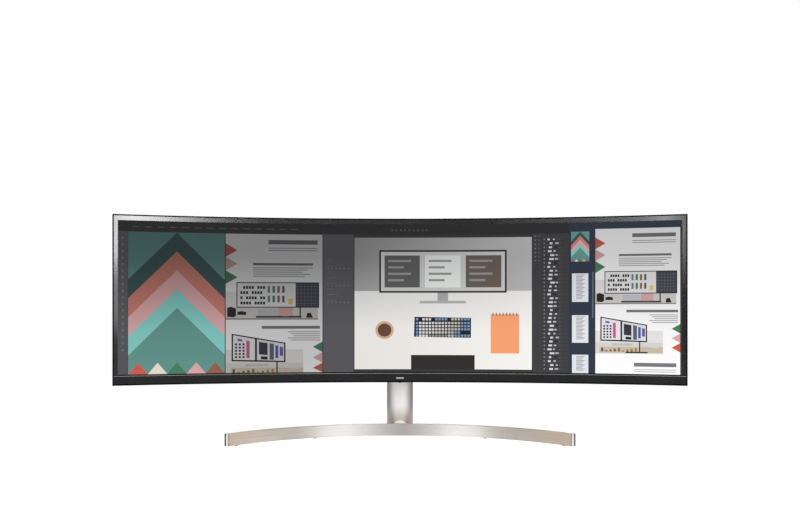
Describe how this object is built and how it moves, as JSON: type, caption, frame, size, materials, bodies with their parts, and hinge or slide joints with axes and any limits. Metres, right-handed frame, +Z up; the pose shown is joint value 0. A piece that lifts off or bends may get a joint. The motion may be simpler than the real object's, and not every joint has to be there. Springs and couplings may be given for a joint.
{
  "type": "computer monitor",
  "caption": "Curved ultra-wide desktop monitor: concave panel with a slim frame, tilting and height-adjustable round column, swivel, arc-shaped metal base.",
  "frame": {"origin": "on the table, on the axis of the stand's column, at the middle of the round pad under the hub", "axes": "+X to the right along the screen's length as seen by the user, +Y backwards out of the back of the head, +Z up; the screen faces -Y"},
  "size_m": [1.215, 0.2736, 0.4918],
  "materials": {
    "satin_aluminium": "brushed satin anodised, warm silver",
    "cast_metal": "fine textured grey paint on a casting",
    "steel": "zinc-plated steel",
    "chrome_rod": "polished",
    "rubber": "matt moulded rubber",
    "black_plastic": "black moulded plastic, fine texture",
    "cover_plastic": "light grey moulded plastic, fine spark texture",
    "coupling_metal": "grey powder coat",
    "panel_glass": "dark screen, gloss border",
    "clear_plastic": "clear and milky acrylic and film",
    "badge_metal": "satin, plain",
    "circuit_board": "green solder mask",
    "ribbon": "amber film"
  },
  "bodies": {
    "base": {"base_arc": "satin_aluminium", "base_hub": "cast_metal", "bar_screws": "steel", "pivot_bolt": "steel", "pivot_nut": "steel", "swivel_bush": "black_plastic", "stop_pin": "steel", "bar_feet": "rubber", "hub_foot": "rubber"},
    "column": {"swivel_plate": "cast_metal", "outer_column": "satin_aluminium", "column_collar": "black_plastic", "spring_seat": "cast_metal", "gas_spring_cylinder": "steel", "cable_clip": "black_plastic"},
    "lift": {"inner_column": "chrome_rod", "lower_guide": "black_plastic", "gas_spring_rod": "chrome_rod", "hinge_head": "cast_metal", "tilt_shaft": "chrome_rod", "tilt_washers": "steel", "tilt_nuts": "steel", "hinge_cover": "black_plastic"},
    "joystick_rocker": {"joystick_ring": "black_plastic"},
    "joystick_post": {"joystick_stem": "black_plastic"},
    "joystick_key": {"joystick_cap": "black_plastic"},
    "release_key": {"release_button": "black_plastic"},
    "display": {"badge": "badge_metal", "bezel_frame": "black_plastic", "board_standoffs": "steel", "button_guide": "black_plastic", "chin_trim": "black_plastic", "coupling_screws": "steel", "cover_screws": "steel", "display_port": "steel", "hdmi_ports": "steel", "headphone_jack": "black_plastic", "joystick_housing": "black_plastic", "lcd_panel": "panel_glass", "led_bar": "circuit_board", "light_guide": "clear_plastic", "lock_slot": "steel", "main_board": "circuit_board", "optical_sheets": "clear_plastic", "panel_chassis": "steel", "panel_ribbon": "ribbon", "power_board": "circuit_board", "power_inlet": "black_plastic", "rear_cover": "cover_plastic", "socket_bracket": "steel", "speaker_left": "black_plastic", "speaker_right": "black_plastic", "stand_coupling": "coupling_metal", "timing_board": "circuit_board", "usb_a_ports": "steel", "usb_b_port": "steel", "usb_c_port": "steel", "vesa_plate": "steel"}
  },
  "joints": [
    {"name": "swivel", "type": "hinge", "parent": "base", "child": "column", "pos_m": [0, 0, 0.02], "axis": [0, 0, 1], "range_deg": [-15, 15]},
    {"name": "height", "type": "slide", "parent": "column", "child": "lift", "axis": [0, 0, 1], "range_m": [-0.034, 0.076]},
    {"name": "tilt", "type": "hinge", "parent": "lift", "child": "display", "pos_m": [0, -0.038, 0.31], "axis": [-1, 0, 0], "range_deg": [-5, 15]},
    {"name": "joystick_side", "type": "hinge", "parent": "display", "child": "joystick_rocker", "pos_m": [0, -0.0996, 0.134], "axis": [0, 1, 0], "range_deg": [-3, 3], "stiffness_Nm_per_rad": 0.05},
    {"name": "joystick_front", "type": "hinge", "parent": "joystick_rocker", "child": "joystick_post", "pos_m": [0, -0.0996, 0.134], "axis": [1, 0, 0], "range_deg": [-3, 3], "stiffness_Nm_per_rad": 0.05},
    {"name": "joystick_press", "type": "slide", "parent": "joystick_post", "child": "joystick_key", "axis": [0, 0, 1], "range_m": [0, 0.0005], "stiffness_N_per_m": 600, "springref_m": -0.0003},
    {"name": "stand_release", "type": "slide", "parent": "display", "child": "release_key", "axis": [0, 0, 1], "range_m": [0, 0.004], "stiffness_N_per_m": 400, "springref_m": -0.004}
  ]
}
